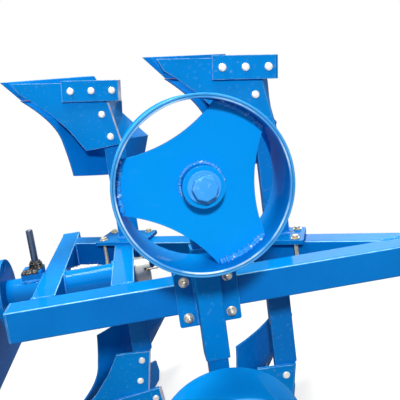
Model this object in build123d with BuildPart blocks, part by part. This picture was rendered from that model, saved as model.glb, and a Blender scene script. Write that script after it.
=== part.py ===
# Two-furrow turnover plough for a small tractor, with mirrored upper and lower bodies,
# a hand-turned frame on a fixed headstock, and a steel depth wheel above and below.
# Millimetres. +X points to the rear, +Y to the plough's right, +Z up.
import os
from math import atan2, cos, hypot, radians, sin, sqrt, tan

from build123d import *

os.makedirs("parts", exist_ok=True)

# Driving dimensions: where the turnover axis and the wheel stand in the part's own frame
WHEEL_X = 49.5
AXIS_Y = -13.82

# Square beams of the turning frame
BEAM = 80.0
BEAM_WALL = 6.0
TUBE_CORNER = 5.0
INNER_CORNER = 1.0
NEAR_Y = -257.0
NEAR_FRONT = -490.0
NEAR_REAR = 660.0
MAIN_ANGLE = -32.4
MAIN_X = 330.0
MAIN_Y = -65.5
CAP_THICK = 4.0

# Cross tubes and the bearing of the turnover
CROSS_WIDE = 62.0
FRONT_CROSS_X = -412.0
FRONT_CROSS_END = 515.0
CROSS_CAP = 10.0
REAR_CROSS_X = -207.5
BEARING_R = 38.05
BEARING_BORE_R = 30.0
BEARING_FRONT = -560.0
BEARING_REAR = REAR_CROSS_X + CROSS_WIDE / 2
BUSH_LONG = 60.0
SPINDLE_R = 25.0
RUNNING = 0.05
FACE_GAP = 0.2
EDGE_BREAK = 2.0

# Headstock for a small three-point hitch: pins 22 mm, 683 mm apart, mast 460 mm
PLATE_THICK = 20.0
PLATE_REAR = -590.0
PLATE_FRONT = PLATE_REAR - PLATE_THICK
COLLAR_R = 55.0
LINK_BAR = 70.0
LINK_Z = -195.0
LINK_PIN_R = 11.0
LINK_SPREAD = 683.0
LINK_PIN_LONG = 88.0
MAST_TALL = 460.0
MAST_GAP = 52.0
MAST_THICK = 12.0
TOP_HOLE_R = 9.75
TOP_HOLE_X = -675.0

# Plough bodies, given for the front lower one and carried over to the other three;
# the lower legs stand a little ahead of the clamps' middles and the upper ones behind
CLAMP_X = -197.0
LEG_SET = 9.3
LEG_X = CLAMP_X - LEG_SET
BODY_PITCH = 446.0
LEG_WIDE = 68.0
LEG_THICK = 30.0
SOLE = -575.5
NOSE_DOWN = 6.2
NOSE_U = -325.0
FOOT_LONG = 190.0
FOOT_WIDE = 146.0
FOOT_THICK = 12.0
FOOT_SKEW = 0.22
FROG_THICK = 12.0
SLADE_THICK = 10.0
SLADE_TALL = 65.5
BOARD_THICK = 7.0
BOLT_R = 6.0
BOLT_HOLE_R = 6.5
BOLT_HEAD_R = 11.5

# Depth wheel and its post
WHEEL_R = 180.0
RIM_THICK = 10.0
RIM_WIDE = 148.0
WHEEL_FRONT = -572.7
WHEEL_UP = 315.0
DISC_IN = 48.0
DISC_THICK = 8.0
CUT_R = 296.0
CUT_FROM_CENTRE = 404.0
CUT_PHASE = 114.0
HUB_R = 42.2
HUB_PROUD = 41.0
HUB_LONG = 130.0
AXLE_R = 20.0
POST = 60.0
POST_WALL = 5.0
POST_HALF = 140.0
STEM_GAP = 0.3
SLIDE_CORNER = 4.0
CLAMP_THICK = 12.0
CLAMP_WIDE = 156.0
CLAMP_TALL = 140.0

# The tilted share nose stands on the floor
AXIS_Z = -SOLE - NOSE_U * sin(radians(NOSE_DOWN))
NEAR_BACK = NEAR_Y + BEAM / 2
NEAR_FACE = NEAR_Y - BEAM / 2
ALONG = (cos(radians(MAIN_ANGLE)), sin(radians(MAIN_ANGLE)), 0)
ACROSS = (-ALONG[1], ALONG[0], 0)


def at(x, y, z):
    return (WHEEL_X + x, AXIS_Y + y, AXIS_Z + z)


def main_y(x):
    return MAIN_Y + (x - MAIN_X) * tan(radians(MAIN_ANGLE))


def cross_plane(x, y=0.0, z=0.0):
    return Plane(origin=at(x, y, z), x_dir=(0, 1, 0), z_dir=(1, 0, 0))


def side_plane(y, x=0.0, z=0.0):
    return Plane(origin=at(x, y, z), x_dir=(1, 0, 0), z_dir=(0, -1, 0))


def level_plane(z, x=0.0, y=0.0):
    return Plane(origin=at(x, y, z))


def clamp_plane(x, z):
    return Plane(origin=at(x, main_y(x), z), x_dir=ALONG, z_dir=(0, 0, 1))


def save(piece, name):
    piece.part.label = name
    export_step(piece.part, f"parts/{name}.step")


def square_tube(plane, wide, tall, wall, length):
    with BuildPart() as tube:
        with BuildSketch(plane):
            RectangleRounded(wide, tall, TUBE_CORNER)
            RectangleRounded(wide - 2 * wall, tall - 2 * wall, INNER_CORNER, mode=Mode.SUBTRACT)
        extrude(amount=length)
    return tube


# Near beam, parallel to the travel
near_beam = square_tube(cross_plane(NEAR_FRONT, NEAR_Y), BEAM, BEAM, BEAM_WALL, NEAR_REAR - NEAR_FRONT)
save(near_beam, "near_beam")

# Main beam, slanted across the travel, cut off against the front cross tube and the near beam
CROSS_BACK = FRONT_CROSS_X + CROSS_WIDE / 2
main_start = Plane(origin=at(NEAR_FRONT, main_y(NEAR_FRONT), 0), x_dir=ACROSS, z_dir=ALONG)
main_long = (NEAR_REAR - NEAR_FRONT) / ALONG[0] + BEAM
with BuildPart() as main_beam:
    add(square_tube(main_start, BEAM, BEAM, BEAM_WALL, main_long).part)
    split(bisect_by=Plane(origin=at(0, NEAR_BACK, 0), z_dir=(0, 1, 0)), keep=Keep.TOP)
    split(bisect_by=cross_plane(CROSS_BACK), keep=Keep.TOP)
save(main_beam, "main_beam")

# Two cross tubes bored for the bearing tube: the front one runs on past the main beam's end
main_face = Plane(
    origin=at(MAIN_X - ACROSS[0] * BEAM / 2, MAIN_Y - ACROSS[1] * BEAM / 2, 0),
    z_dir=(-ACROSS[0], -ACROSS[1], 0),
)
for cross_name, cross_x in (("front_cross_tube", FRONT_CROSS_X), ("rear_cross_tube", REAR_CROSS_X)):
    cross_start = Plane(origin=at(cross_x, NEAR_BACK, 0), x_dir=(1, 0, 0), z_dir=(0, 1, 0))
    with BuildPart() as cross_tube:
        add(square_tube(cross_start, CROSS_WIDE, BEAM, BEAM_WALL, FRONT_CROSS_END - NEAR_BACK).part)
        if cross_x == REAR_CROSS_X:
            split(bisect_by=main_face, keep=Keep.TOP)
        with BuildSketch(cross_plane(cross_x - CROSS_WIDE)):
            Circle(BEARING_R)
        extrude(amount=2 * CROSS_WIDE, mode=Mode.SUBTRACT)
    save(cross_tube, cross_name)

# Welded caps that close the near beam's two ends and the far end of the front cross tube
cross_end = Plane(origin=at(FRONT_CROSS_X, FRONT_CROSS_END, 0), x_dir=(1, 0, 0), z_dir=(0, 1, 0))
cap_sizes = (
    (cross_plane(NEAR_FRONT - CAP_THICK, NEAR_Y), BEAM, CAP_THICK),
    (cross_plane(NEAR_REAR, NEAR_Y), BEAM, CAP_THICK),
    (cross_end, CROSS_WIDE, CROSS_CAP),
)
with BuildPart() as beam_caps:
    for cap_plane, cap_wide, cap_thick in cap_sizes:
        with BuildSketch(cap_plane):
            RectangleRounded(cap_wide, BEAM, TUBE_CORNER)
        extrude(amount=cap_thick)
save(beam_caps, "beam_caps")

# Bearing tube along the turnover axis, with a welded lug for the stop screw
STOP_X = -461.0
STOP_Y = 15.0
LUG_REAR = FRONT_CROSS_X - CROSS_WIDE / 2
LUG_LONG = 57.0
LUG_WIDE = 74.0
LUG_TOP = 57.0
with BuildPart() as bearing_tube:
    with BuildSketch(level_plane(0, LUG_REAR, STOP_Y)):
        Rectangle(LUG_LONG, LUG_WIDE, align=(Align.MAX, Align.CENTER))
    extrude(amount=LUG_TOP)
    with BuildSketch(cross_plane(BEARING_FRONT)):
        Circle(BEARING_R)
    extrude(amount=BEARING_REAR - BEARING_FRONT)
    with BuildSketch(cross_plane(BEARING_FRONT)):
        Circle(BEARING_BORE_R)
    extrude(amount=BEARING_REAR - BEARING_FRONT, mode=Mode.SUBTRACT)
save(bearing_tube, "bearing_tube")

# Bronze bushes pressed into both ends of the bearing tube
with BuildPart() as bearing_bushes:
    for bush_start in (BEARING_FRONT, BEARING_REAR - BUSH_LONG):
        with BuildSketch(cross_plane(bush_start)):
            Circle(BEARING_BORE_R)
            Circle(SPINDLE_R + RUNNING, mode=Mode.SUBTRACT)
        extrude(amount=BUSH_LONG)
save(bearing_bushes, "bearing_bushes")

# Stop screw with its lock nut, standing on the lug
STOP_R = 10.0
STOP_LONG = 117.0
STOP_NUT_TALL = 19.0
STOP_NUT_R = 17.3
with BuildPart() as stop_screw:
    with BuildSketch(level_plane(LUG_TOP, STOP_X, STOP_Y)):
        Circle(STOP_R)
    extrude(amount=STOP_LONG)
    chamfer(stop_screw.edges().sort_by(Axis.Z)[-1], length=EDGE_BREAK)
    with BuildSketch(level_plane(LUG_TOP, STOP_X, STOP_Y)):
        RegularPolygon(STOP_NUT_R, 6)
    extrude(amount=STOP_NUT_TALL)
save(stop_screw, "stop_screw")

# Lock disc on the bearing tube, with a hole for each working side
LOCK_R = 10.0
LOCK_CIRCLE = 80.0
LOCK_HOLE_R = 11.0
DISC_R = 100.0
LOCK_DISC_THICK = 14.0
with BuildPart() as lock_disc:
    with BuildSketch(cross_plane(BEARING_FRONT)):
        Circle(DISC_R)
        Circle(BEARING_R, mode=Mode.SUBTRACT)
        with PolarLocations(LOCK_CIRCLE, 2, start_angle=90):
            Circle(LOCK_HOLE_R, mode=Mode.SUBTRACT)
    extrude(amount=LOCK_DISC_THICK)
save(lock_disc, "lock_disc")

# Headstock plate, with the spindle hole and the lock pin's hole
PLATE_LOW = -230.0
PLATE_HIGH = 140.0
PLATE_LOW_HALF = 210.0
PLATE_HIGH_HALF = 110.0
PLATE_CORNER = 30.0
with BuildPart() as headstock_plate:
    with BuildSketch(cross_plane(PLATE_FRONT)):
        with BuildLine():
            Polyline(
                (-PLATE_LOW_HALF, PLATE_LOW),
                (PLATE_LOW_HALF, PLATE_LOW),
                (PLATE_HIGH_HALF, PLATE_HIGH),
                (-PLATE_HIGH_HALF, PLATE_HIGH),
                close=True,
            )
        make_face()
        Circle(SPINDLE_R, mode=Mode.SUBTRACT)
        with Locations((0, LOCK_CIRCLE)):
            Circle(LOCK_R + RUNNING, mode=Mode.SUBTRACT)
    extrude(amount=PLATE_THICK)
    fillet(headstock_plate.edges().filter_by(Axis.X).group_by(Axis.Z)[-1], radius=PLATE_CORNER)
save(headstock_plate, "headstock_plate")

# Spindle with its welded collar and a threaded rear end
WASHER_THICK = 4.0
FRONT_WASHER = 10.0
NUT_LONG = 41.0
NUT_R = 43.5
NUT_FRONT = BEARING_REAR + WASHER_THICK
COLLAR_LONG = BEARING_FRONT - PLATE_REAR - FRONT_WASHER
THREAD_R = 24.0
THREAD_SUNK = 2.0
SPINDLE_REAR = NUT_FRONT + NUT_LONG - THREAD_SUNK
SLOT_WIDE = 9.0
SLOT_DEEP = 18.0
PIN_R = 3.0
PIN_PROUD = 6.0
PIN_X = NUT_FRONT + NUT_LONG - SLOT_DEEP / 2
PIN_TURN = -21.0
PIN_WAY = (0, -cos(radians(PIN_TURN)), -sin(radians(PIN_TURN)))
PIN_REACH = NUT_R + PIN_PROUD
pin_start = Plane(origin=at(PIN_X, 0, 0), x_dir=(1, 0, 0), z_dir=PIN_WAY).offset(-PIN_REACH)
with BuildPart() as spindle:
    with BuildSketch(cross_plane(PLATE_FRONT)):
        Circle(SPINDLE_R)
    extrude(amount=NUT_FRONT - PLATE_FRONT)
    with BuildSketch(cross_plane(PLATE_REAR)):
        Circle(COLLAR_R)
    extrude(amount=COLLAR_LONG)
    with BuildSketch(cross_plane(NUT_FRONT)):
        Circle(THREAD_R)
    extrude(amount=SPINDLE_REAR - NUT_FRONT)
    chamfer(spindle.edges().filter_by(GeomType.CIRCLE).sort_by(Axis.X)[-1], length=EDGE_BREAK)
    with BuildSketch(pin_start):
        Circle(PIN_R)
    extrude(amount=2 * PIN_REACH, mode=Mode.SUBTRACT)
save(spindle, "spindle")

# Thrust washers at both ends of the bearing tube
WASHER_RING_R = 46.0
with BuildPart() as thrust_washers:
    with BuildSketch(cross_plane(PLATE_REAR + COLLAR_LONG)):
        Circle(WASHER_RING_R)
        Circle(SPINDLE_R, mode=Mode.SUBTRACT)
    extrude(amount=FRONT_WASHER - FACE_GAP)
    with BuildSketch(cross_plane(BEARING_REAR + FACE_GAP)):
        Circle(WASHER_RING_R)
        Circle(SPINDLE_R, mode=Mode.SUBTRACT)
    extrude(amount=WASHER_THICK - FACE_GAP)
save(thrust_washers, "thrust_washers")

# Slotted round nut that holds the frame on the spindle, and its split pin
with BuildPart() as castle_nut:
    with BuildSketch(cross_plane(NUT_FRONT)):
        Circle(NUT_R)
    extrude(amount=NUT_LONG)
    chamfer(castle_nut.edges().filter_by(GeomType.CIRCLE).sort_by(Axis.X)[-1], length=EDGE_BREAK)
    with BuildSketch(cross_plane(NUT_FRONT)):
        Circle(THREAD_R)
    extrude(amount=NUT_LONG, mode=Mode.SUBTRACT)
    with BuildSketch(cross_plane(NUT_FRONT + NUT_LONG - SLOT_DEEP)):
        for slot_step in (0, 60, 120):
            Rectangle(3 * NUT_R, SLOT_WIDE, rotation=PIN_TURN + slot_step)
    extrude(amount=SLOT_DEEP, mode=Mode.SUBTRACT)
save(castle_nut, "castle_nut")

PIN_EYE_R = 7.0
PIN_EYE = 6.0
PIN_TAIL = 32.0
PIN_TAIL_R = 2.6
with BuildPart() as split_pin:
    with BuildSketch(pin_start):
        Circle(PIN_R)
    extrude(amount=2 * PIN_REACH)
    with BuildSketch(pin_start):
        Circle(PIN_EYE_R)
    extrude(amount=-PIN_EYE)
    bend = PIN_REACH - PIN_R
    with BuildSketch(cross_plane(PIN_X, PIN_WAY[1] * bend, PIN_WAY[2] * bend)):
        Circle(PIN_TAIL_R)
    extrude(amount=PIN_TAIL)
save(split_pin, "split_pin")

# Lower link bar with its end pins
PIN_SHOULDER = 40.0
PIN_SHOULDER_R = 20.0
END_PLATE = 15.0
LINK_X = PLATE_FRONT - LINK_BAR / 2
BAR_HALF = LINK_SPREAD / 2 - PIN_SHOULDER
link_start = Plane(origin=at(LINK_X, -BAR_HALF, LINK_Z), x_dir=(1, 0, 0), z_dir=(0, 1, 0))
link_bar = square_tube(link_start, LINK_BAR, LINK_BAR, BEAM_WALL, 2 * BAR_HALF)
save(link_bar, "lower_link_bar")

with BuildPart() as link_pins:
    for side in (-1, 1):
        bar_end = Plane(origin=at(LINK_X, side * BAR_HALF, LINK_Z), x_dir=(1, 0, 0), z_dir=(0, side, 0))
        with BuildSketch(bar_end):
            RectangleRounded(LINK_BAR, LINK_BAR, TUBE_CORNER)
        extrude(amount=END_PLATE)
        with BuildSketch(bar_end.offset(END_PLATE)):
            Circle(PIN_SHOULDER_R)
        extrude(amount=PIN_SHOULDER - END_PLATE)
        with BuildSketch(bar_end.offset(PIN_SHOULDER)):
            Circle(LINK_PIN_R)
        extrude(amount=LINK_PIN_LONG)
    chamfer(link_pins.edges().filter_by(GeomType.CIRCLE).sort_by(Axis.Y)[0], length=EDGE_BREAK)
    chamfer(link_pins.edges().filter_by(GeomType.CIRCLE).sort_by(Axis.Y)[-1], length=EDGE_BREAK)
save(link_pins, "lower_link_pins")

# Mast plates that take the top link between them
MAST_FOOT = LINK_Z + LINK_BAR / 2 + 6.0
MAST_FOOT_DEEP = 55.0
MAST_ROOT = 130.0
MAST_EYE = 30.0
MAST_CORNER = 22.0
TOP_HOLE_Z = LINK_Z + MAST_TALL
with BuildPart() as mast_plates:
    for mast_y in (-MAST_GAP / 2, MAST_GAP / 2 + MAST_THICK):
        with BuildSketch(side_plane(mast_y)) as mast_shape:
            with BuildLine():
                Polyline(
                    (PLATE_FRONT, MAST_FOOT),
                    (PLATE_FRONT, MAST_ROOT),
                    (TOP_HOLE_X + MAST_EYE, TOP_HOLE_Z + MAST_EYE),
                    (TOP_HOLE_X - MAST_EYE, TOP_HOLE_Z + MAST_EYE),
                    (TOP_HOLE_X - MAST_EYE, TOP_HOLE_Z - MAST_EYE),
                    (PLATE_FRONT - MAST_FOOT_DEEP, MAST_FOOT),
                    close=True,
                )
            make_face()
            fillet(mast_shape.vertices().group_by(Axis.Z)[-1], radius=MAST_CORNER)
            with Locations((TOP_HOLE_X, TOP_HOLE_Z)):
                Circle(TOP_HOLE_R, mode=Mode.SUBTRACT)
        extrude(amount=MAST_THICK)
save(mast_plates, "mast_plates")

# Lock pin in its guide, drawn back so that the frame is free to turn
GUIDE_R = 18.0
GUIDE_LONG = 50.0
LOCK_SHORT = 4.0
LOCK_TIP = BEARING_FRONT - LOCK_SHORT
HANDLE_X = -712.0
HANDLE_R = 7.0
HANDLE_LONG = 120.0
with BuildPart() as lock_guide:
    with BuildSketch(cross_plane(PLATE_FRONT - GUIDE_LONG, 0, LOCK_CIRCLE)):
        Circle(GUIDE_R)
        Circle(LOCK_R + RUNNING, mode=Mode.SUBTRACT)
    extrude(amount=GUIDE_LONG)
save(lock_guide, "lock_guide")

with BuildPart() as lock_pin:
    with BuildSketch(cross_plane(HANDLE_X, 0, LOCK_CIRCLE)):
        Circle(LOCK_R)
    extrude(amount=LOCK_TIP - HANDLE_X)
    chamfer(lock_pin.edges().filter_by(GeomType.CIRCLE).sort_by(Axis.X)[-1], length=EDGE_BREAK)
    with BuildSketch(level_plane(LOCK_CIRCLE - HANDLE_LONG / 2, HANDLE_X)):
        Circle(HANDLE_R)
    extrude(amount=HANDLE_LONG)
    fillet(lock_pin.edges().filter_by(GeomType.CIRCLE).group_by(Axis.Z)[0], radius=EDGE_BREAK)
    fillet(lock_pin.edges().filter_by(GeomType.CIRCLE).group_by(Axis.Z)[-1], radius=EDGE_BREAK)
save(lock_pin, "lock_pin")

# Parking stand: a square leg in a socket, held by a hand screw
SOCKET = 50.0
SOCKET_WALL = 5.0
SOCKET_TALL = 110.0
STAND_Y = -150.0
STAND_X = PLATE_FRONT - LINK_BAR - SOCKET / 2
STAND_TOP = 40.0
STAND_WALL = 4.0
STAND_FOOT = 8.0
STAND_FOOT_WIDE = 110.0
STAND_FOOT_CORNER = 12.0
SCREW_R = 6.0
stand_socket = square_tube(
    level_plane(LINK_Z - SOCKET_TALL / 2, STAND_X, STAND_Y), SOCKET, SOCKET, SOCKET_WALL, SOCKET_TALL
)
with BuildPart() as stand_socket_drilled:
    add(stand_socket.part)
    with BuildSketch(cross_plane(STAND_X - SOCKET, STAND_Y, LINK_Z)):
        Circle(SCREW_R)
    extrude(amount=SOCKET, mode=Mode.SUBTRACT)
save(stand_socket_drilled, "stand_socket")

STAND_WIDE = SOCKET - 2 * SOCKET_WALL - 2 * STEM_GAP
STAND_HOLLOW = STAND_WIDE - 2 * STAND_WALL
with BuildPart() as stand_leg:
    with BuildSketch(level_plane(-AXIS_Z + STAND_FOOT, STAND_X, STAND_Y)):
        RectangleRounded(STAND_WIDE, STAND_WIDE, SLIDE_CORNER)
        RectangleRounded(STAND_HOLLOW, STAND_HOLLOW, SLIDE_CORNER / 2, mode=Mode.SUBTRACT)
    extrude(amount=AXIS_Z - STAND_FOOT + STAND_TOP)
    with BuildSketch(level_plane(-AXIS_Z, STAND_X, STAND_Y)):
        RectangleRounded(STAND_FOOT_WIDE, STAND_FOOT_WIDE, STAND_FOOT_CORNER)
    extrude(amount=STAND_FOOT)
save(stand_leg, "stand_leg")

SCREW_LONG = 34.0
SCREW_NUT = 10.0
SCREW_NUT_R = 11.0
BAR_OUT = 29.0
BAR_R = 4.0
BAR_LONG = 60.0
with BuildPart() as stand_screw:
    with BuildSketch(cross_plane(STAND_X - STAND_WIDE / 2 - STEM_GAP, STAND_Y, LINK_Z)):
        Circle(SCREW_R)
    extrude(amount=-SCREW_LONG)
    with BuildSketch(cross_plane(STAND_X - SOCKET / 2, STAND_Y, LINK_Z)):
        RegularPolygon(SCREW_NUT_R, 6)
    extrude(amount=-SCREW_NUT)
    with BuildSketch(level_plane(LINK_Z - BAR_LONG / 2, STAND_X - SOCKET / 2 - BAR_OUT, STAND_Y)):
        Circle(BAR_R)
    extrude(amount=BAR_LONG)
save(stand_screw, "stand_screw")

# Plough bodies
BODY_Y = main_y(LEG_X)
LAND_Y = BODY_Y - LEG_THICK / 2
TILT = Axis(at(LEG_X, LAND_Y, SOLE), (0, 1, 0))
SLADE_BOLTS = (-106.0, -41.0, 24.0)
FROG_BOLTS = ((-12.0, 108.0), (12.5, 180.0))


def tilted(piece):
    return piece.rotate(TILT, -NOSE_DOWN)


def bend_of(shin, tail, bow):
    # centre, radius, first and last heading of the arc that bows from the shin to the tail
    run = atan2(tail[1] - shin[1], tail[0] - shin[0])
    first = run - radians(bow)
    radius = hypot(tail[0] - shin[0], tail[1] - shin[1]) / 2 / sin(radians(bow))
    centre = (shin[0] - radius * sin(first), shin[1] + radius * cos(first))
    return centre, radius, first, run + radians(bow)


def bent_strip(height, shin, tail, bow):
    # thin level slice of the mouldboard
    centre, radius, first, last = bend_of(shin, tail, bow)
    headings = (first, (first + last) / 2, last)
    face = [(centre[0] + radius * sin(a), centre[1] - radius * cos(a)) for a in headings]
    reach = radius + BOARD_THICK
    back = [(centre[0] + reach * sin(a), centre[1] - reach * cos(a)) for a in headings]
    with BuildSketch(level_plane(SOLE + height, LEG_X, LAND_Y)) as strip:
        with BuildLine():
            ThreePointArc(*face)
            Line(face[2], back[2])
            ThreePointArc(*reversed(back))
            Line(back[0], face[0])
        make_face()
    return strip.sketch


# Share: a wedge whose edge runs level from the nose out to the wing
SHARE_TOP = 58.0
SHARE_SOLE = 24.0
SHARE_RAKE = 62.0
SHARE_LIP = 12.0
NOSE_OUT = 1.0
WING_OUT = 285.0
WING_U = -70.0
WING_DROP = (WING_U - NOSE_U) * tan(radians(NOSE_DOWN))
with BuildPart() as share_form:
    for share_u, share_v, drop in ((NOSE_U, NOSE_OUT, 0.0), (WING_U, WING_OUT, WING_DROP)):
        with BuildSketch(side_plane(LAND_Y + share_v, LEG_X, SOLE)):
            with BuildLine():
                Polyline(
                    (share_u, -drop),
                    (share_u + SHARE_SOLE, -drop),
                    (share_u + SHARE_RAKE + SHARE_LIP, SHARE_TOP),
                    (share_u + SHARE_RAKE, SHARE_TOP),
                    close=True,
                )
            make_face()
    loft(ruled=True)

# Mouldboard: a sheet bowed more and more from the share up, with a corner in its tail;
# each slice has its height, its shin and tail, and half the angle it turns through
BOARD_GAP = 0.5
BOARD_SLICES = (
    (SHARE_TOP + BOARD_GAP, (-268.0, 3.0), (-8.0, 284.0), 2.0),
    (102.0, (-210.0, 4.0), (37.0, 307.0), 7.0),
    (150.0, (-166.0, 6.0), (86.0, 333.0), 14.0),
    (200.0, (-143.0, 8.0), (138.0, 360.0), 20.0),
    (255.0, (-128.0, 11.0), (125.0, 346.0), 24.0),
    (334.0, (-112.5, 15.5), (105.0, 324.0), 28.5),
)
TAIL_SLICE = 3
TOP_RISE = 0.087
TOP_AT = (-118.0, 306.0)
TOP_HALF = 300.0
BOARD_DEEP = 480.0
board_strips = [bent_strip(*board_slice) for board_slice in BOARD_SLICES]
with BuildPart() as board_form:
    loft(board_strips[: TAIL_SLICE + 1])
    loft(board_strips[TAIL_SLICE:])
    with BuildSketch(side_plane(LAND_Y + BOARD_DEEP, LEG_X, SOLE)):
        with BuildLine():
            Polyline(
                (TOP_AT[0] - TOP_HALF, TOP_AT[1] - TOP_HALF * TOP_RISE),
                (TOP_AT[0] + TOP_HALF, TOP_AT[1] + TOP_HALF * TOP_RISE),
                (TOP_AT[0] + TOP_HALF, TOP_AT[1] + TOP_HALF),
                (TOP_AT[0] - TOP_HALF, TOP_AT[1] + TOP_HALF),
                close=True,
            )
        make_face()
    extrude(amount=2 * BOARD_DEEP, mode=Mode.SUBTRACT)

# Frog: the flat plate on the landside, with two ribs out to the mouldboard's back and a web
# along its rear edge; each web slice has its height and how far it reaches back and out
FROG_OUTLINE = (
    (-286.0, 6.0),
    (44.0, 6.0),
    (44.0, 62.0),
    (10.0, 62.0),
    (51.0, 204.0),
    (-68.0, 224.0),
    (-116.0, 160.0),
    (-175.0, 101.0),
    (-240.0, 55.0),
    (-268.0, 38.0),
)
RIB_THICK = 10.0
RIB_BITE = 1.5
RIB_STARTS = (-158.0, -108.0)
RIB_REACH = 0.6
RIB_STEPS = 6
FROG_BEVEL = 5.0
RIB_REAR = -54.0
RIB_HEEL = 40.0
WEB_THICK = 8.0
WEB_IN = 8.0
WEB_ROOT = -1.0
WEB_SLICES = ((30.0, 42.0, 112.0), (66.5, 42.0, 112.0), (118.0, 27.0, 92.0), (150.0, 4.0, 14.0))


def frog_edge(height):
    # where the frog's slanted rear edge stands at a height
    (low_u, low_w), (high_u, high_w) = FROG_OUTLINE[3:5]
    return low_u + (height - low_w) * (high_u - low_u) / (high_w - low_w)


with BuildPart() as web_form:
    for height, back, out in WEB_SLICES:
        root_u = frog_edge(height) - WEB_IN
        thick_u = WEB_THICK * out / hypot(back, out)
        thick_v = -WEB_THICK * back / hypot(back, out)
        with BuildSketch(level_plane(SOLE + height, LEG_X, LAND_Y)):
            with BuildLine():
                Polyline(
                    (root_u, WEB_ROOT),
                    (root_u + thick_u, WEB_ROOT + thick_v),
                    (root_u + thick_u + back, WEB_ROOT + thick_v + out),
                    (root_u + back, WEB_ROOT + out),
                    close=True,
                )
            make_face()
    loft(ruled=True)

with BuildPart() as frog_form:
    with BuildSketch(side_plane(LAND_Y, LEG_X, SOLE)):
        with BuildLine():
            Polyline(*FROG_OUTLINE, close=True)
        make_face()
        with Locations(*[(bolt_u, SLADE_TALL / 2) for bolt_u in SLADE_BOLTS], *FROG_BOLTS):
            Circle(BOLT_HOLE_R, mode=Mode.SUBTRACT)
    extrude(amount=FROG_THICK)
    frog_rear = frog_form.faces().sort_by(Axis.Y)[0].edges().sort_by(Axis.X)[-2]
    chamfer(frog_rear, length=FROG_BEVEL)
    for (height, shin, tail, bow), rib_start in zip(BOARD_SLICES[1:3], RIB_STARTS):
        centre, radius = bend_of(shin, tail, bow)[:2]
        rib_end = shin[0] + RIB_REACH * (tail[0] - shin[0])
        rib_us = [rib_start + step * (rib_end - rib_start) / RIB_STEPS for step in range(RIB_STEPS + 1)]
        bite = radius + BOARD_THICK - RIB_BITE
        rib_back = [(u, centre[1] - sqrt(bite**2 - (u - centre[0]) ** 2)) for u in rib_us]
        with BuildSketch(level_plane(SOLE + height - RIB_THICK / 2, LEG_X, LAND_Y)):
            with BuildLine():
                Polyline(
                    (rib_start, 0),
                    *rib_back,
                    (RIB_REAR, RIB_HEEL),
                    (RIB_REAR, 0),
                    close=True,
                )
            make_face()
        extrude(amount=RIB_THICK)
    add(web_form.part)
    add(board_form.part, mode=Mode.SUBTRACT)
    add(share_form.part, mode=Mode.SUBTRACT)

# Landside bar that slides along the furrow wall
SLADE_FRONT = -134.0
SLADE_LONG = 187.0
SLADE_BEVEL = 9.0
with BuildPart() as slade_form:
    with BuildSketch(side_plane(LAND_Y - FROG_THICK, LEG_X, SOLE)):
        with Locations((SLADE_FRONT, 0)):
            Rectangle(SLADE_LONG, SLADE_TALL, align=(Align.MIN, Align.MIN))
        with Locations(*[(bolt_u, SLADE_TALL / 2) for bolt_u in SLADE_BOLTS]):
            Circle(BOLT_HOLE_R, mode=Mode.SUBTRACT)
    extrude(amount=SLADE_THICK)
    slade_rear = slade_form.edges().filter_by(Axis.Z).group_by(Axis.X)[-1].sort_by(Axis.Y)[0]
    chamfer(slade_rear, length=SLADE_BEVEL)

# Bolts of one body: three through the landside bar, two through the leg
HEAD_THICK = 5.0
NUT_THICK = 10.0
NUT_CORNER = 10.5
BOLT_TAIL = 4.0
with BuildPart() as bolts_form:
    bolt_stacks = [(bolt_u, SLADE_TALL / 2, FROG_THICK + SLADE_THICK, 0.0) for bolt_u in SLADE_BOLTS]
    bolt_stacks += [(bolt_u, bolt_w, FROG_THICK, LEG_THICK) for bolt_u, bolt_w in FROG_BOLTS]
    for bolt_u, bolt_w, ahead, behind in bolt_stacks:
        bolt_x = LEG_X + bolt_u
        bolt_z = SOLE + bolt_w
        with BuildSketch(side_plane(LAND_Y + behind + NUT_THICK + BOLT_TAIL, bolt_x, bolt_z)):
            Circle(BOLT_R)
        extrude(amount=ahead + behind + NUT_THICK + BOLT_TAIL)
        with BuildSketch(side_plane(LAND_Y - ahead, bolt_x, bolt_z)):
            Circle(BOLT_HEAD_R)
        extrude(amount=HEAD_THICK)
        with BuildSketch(side_plane(LAND_Y + behind + NUT_THICK, bolt_x, bolt_z)):
            RegularPolygon(NUT_CORNER, 6)
        extrude(amount=NUT_THICK)

# Legs with their foot plates, drilled where the tilted body is bolted on and cut slanting
# at the end, so that they stay behind the frog's rear edge
LEG_END = -520.0
LEG_TUCK = 10.0
TUCK_LOW = -90.0
TUCK_HIGH = 190.0
TUCK_TOP = (60.0, 214.0)
TUCK_REAR = 200.0
CLAMP_ALONG = 140.0
CLAMP_ACROSS = 102.0
FOOT_CORNER = 6.0
LEG_SHIFT = Location((2 * LEG_SET, main_y(LEG_X + 2 * LEG_SET) - BODY_Y, 0))
REAR_STEP = Location((BODY_PITCH, main_y(LEG_X + BODY_PITCH) - BODY_Y, 0))
MIDDLE = level_plane(0)
clamp_spots = [
    (side * CLAMP_ALONG / 2 - FOOT_SKEW * across, across)
    for across in (-CLAMP_ACROSS / 2, CLAMP_ACROSS / 2)
    for side in (-1, 1)
]
foot_corners = [
    (side * FOOT_LONG / 2 - FOOT_SKEW * across, across)
    for side, across in (
        (-1, -FOOT_WIDE / 2),
        (1, -FOOT_WIDE / 2),
        (1, FOOT_WIDE / 2),
        (-1, FOOT_WIDE / 2),
    )
]
with BuildPart() as bolt_drill:
    for bolt_u, bolt_w in FROG_BOLTS:
        with BuildSketch(side_plane(LAND_Y + LEG_THICK, LEG_X + bolt_u, SOLE + bolt_w)):
            Circle(BOLT_HOLE_R)
        extrude(amount=LEG_THICK)

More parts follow.
